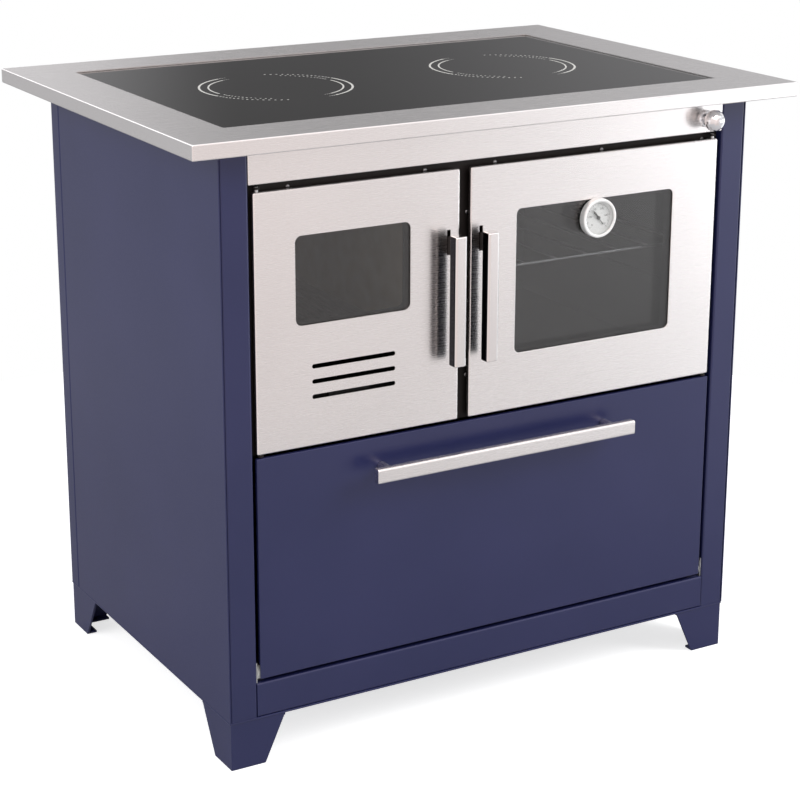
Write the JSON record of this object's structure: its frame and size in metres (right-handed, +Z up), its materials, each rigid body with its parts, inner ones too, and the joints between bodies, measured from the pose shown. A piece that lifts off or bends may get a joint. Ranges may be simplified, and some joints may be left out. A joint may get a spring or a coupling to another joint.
{
  "type": "wood cookstove",
  "caption": "Wood-burning cookstove: glass hob with steel rim, fire door, oven door with thermometer, wood drawer on rollers, lift-latch bar handles.",
  "frame": {"origin": "on the floor, under the middle of the worktop", "axes": "+X to the right seen from the front, +Y to the back, +Z up"},
  "size_m": [0.918, 0.648, 0.85],
  "materials": {
    "navy_paint": "satin navy powder coat with a fine orange peel",
    "stainless": "brushed stainless steel, grain along the long way of each face",
    "chrome": "polished chrome plate",
    "black_steel": "matt black heat-resistant paint",
    "zinc_steel": "bright zinc-coated steel sheet",
    "cast_iron": "raw grey casting",
    "firebrick": "rough buff vermiculite brick",
    "oven_enamel": "speckled grey oven enamel",
    "hob_glass": "black glass-ceramic, glossy",
    "door_glass": "dark tinted heat-resistant glass",
    "clear_glass": "clear glass",
    "rope_gasket": "braided glass-fibre rope",
    "white_nylon": "white nylon",
    "dial_white": "white printed dial"
  },
  "bodies": {
    "cabinet": {"foot_front_left": "navy_paint", "foot_front_right": "navy_paint", "foot_rear_left": "navy_paint", "foot_rear_right": "navy_paint", "base_tray": "navy_paint", "kickplate": "navy_paint", "post_front_left": "navy_paint", "post_front_right": "navy_paint", "post_rear_left": "navy_paint", "post_rear_right": "navy_paint", "side_panel_left": "navy_paint", "side_panel_right": "navy_paint", "back_panel": "navy_paint", "worktop_frame": "stainless", "hob_glass": "hob_glass", "hob_support": "black_steel", "fascia": "stainless", "front_frame": "black_steel", "inner_casing": "black_steel", "oven_box": "oven_enamel", "oven_rack": "chrome", "firebrick_left": "firebrick", "firebrick_right": "firebrick", "firebrick_rear": "firebrick", "grate": "cast_iron", "ash_pan": "zinc_steel", "ash_pan_grip": "zinc_steel", "flue_collar": "black_steel", "damper_rosette": "chrome", "heat_shield": "zinc_steel", "drawer_runner_left": "zinc_steel", "drawer_runner_right": "zinc_steel"},
    "damper": {"damper_slide": "zinc_steel", "damper_knob": "chrome"},
    "fire_door": {"fire_door_skin": "stainless", "fire_door_liner": "black_steel", "fire_door_glass": "door_glass", "fire_door_gasket": "rope_gasket", "fire_door_hinge_rod": "zinc_steel"},
    "fire_latch": {"fire_handle_bar": "stainless", "fire_latch_lever": "black_steel"},
    "oven_door": {"oven_door_skin": "stainless", "oven_door_liner": "black_steel", "oven_door_glass": "door_glass", "oven_door_inner_glass": "door_glass", "oven_door_gasket": "rope_gasket", "oven_door_hinge_rod": "zinc_steel", "thermometer_case": "stainless", "thermometer_dial": "dial_white", "thermometer_lens": "clear_glass"},
    "oven_latch": {"oven_handle_bar": "stainless", "oven_latch_lever": "black_steel"},
    "oven_thermometer_needle": {"thermometer_needle": "black_steel"},
    "wood_drawer": {"drawer_front": "navy_paint", "drawer_box": "black_steel", "drawer_pull": "stainless"},
    "drawer_roller_front_left": {"roller_front_left": "white_nylon"},
    "drawer_roller_front_right": {"roller_front_right": "white_nylon"},
    "drawer_roller_rear_left": {"roller_rear_left": "white_nylon"},
    "drawer_roller_rear_right": {"roller_rear_right": "white_nylon"}
  },
  "joints": [
    {"name": "fire_door_hinge", "type": "hinge", "parent": "cabinet", "child": "fire_door", "pos_m": [-0.352, -0.274, 0.6], "axis": [0, 0, 1], "range_deg": [-110, 0]},
    {"name": "fire_latch_pivot", "type": "hinge", "parent": "fire_door", "child": "fire_latch", "pos_m": [-0.077, -0.2725, 0.6735], "axis": [-1, 0, 0], "range_deg": [0, 20]},
    {"name": "oven_door_hinge", "type": "hinge", "parent": "cabinet", "child": "oven_door", "pos_m": [0.352, -0.274, 0.6], "axis": [0, 0, 1], "range_deg": [0, 110]},
    {"name": "oven_latch_pivot", "type": "hinge", "parent": "oven_door", "child": "oven_latch", "pos_m": [-0.0275, -0.2725, 0.6735], "axis": [-1, 0, 0], "range_deg": [0, 20]},
    {"name": "thermometer_needle_turn", "type": "hinge", "parent": "oven_door", "child": "oven_thermometer_needle", "pos_m": [0.156, -0.2785, 0.6845], "axis": [0, 1, 0], "range_deg": [-96, 174], "stiffness_Nm_per_rad": 0.001},
    {"name": "wood_drawer_slide", "type": "slide", "parent": "cabinet", "child": "wood_drawer", "axis": [0, -1, 0], "range_m": [0, 0.38]},
    {"name": "roller_front_left_spin", "type": "hinge", "parent": "cabinet", "child": "drawer_roller_front_left", "pos_m": [-0.359, -0.2645, 0.1296], "axis": [1, 0, 0], "continuous": true},
    {"name": "roller_front_right_spin", "type": "hinge", "parent": "cabinet", "child": "drawer_roller_front_right", "pos_m": [0.359, -0.2645, 0.1296], "axis": [1, 0, 0], "continuous": true},
    {"name": "roller_rear_left_spin", "type": "hinge", "parent": "wood_drawer", "child": "drawer_roller_rear_left", "pos_m": [-0.359, 0.1743, 0.1296], "axis": [1, 0, 0], "continuous": true},
    {"name": "roller_rear_right_spin", "type": "hinge", "parent": "wood_drawer", "child": "drawer_roller_rear_right", "pos_m": [0.359, 0.1743, 0.1296], "axis": [1, 0, 0], "continuous": true},
    {"name": "flue_damper_slide", "type": "slide", "parent": "cabinet", "child": "damper", "axis": [0, -1, 0], "range_m": [0, 0.07]}
  ],
  "couplings": [
    {"joint": "roller_front_left_spin", "follows": "wood_drawer_slide", "rad_per_m": 90.909},
    {"joint": "roller_front_right_spin", "follows": "wood_drawer_slide", "rad_per_m": 90.909},
    {"joint": "roller_rear_left_spin", "follows": "wood_drawer_slide", "rad_per_m": 90.909},
    {"joint": "roller_rear_right_spin", "follows": "wood_drawer_slide", "rad_per_m": 90.909}
  ]
}
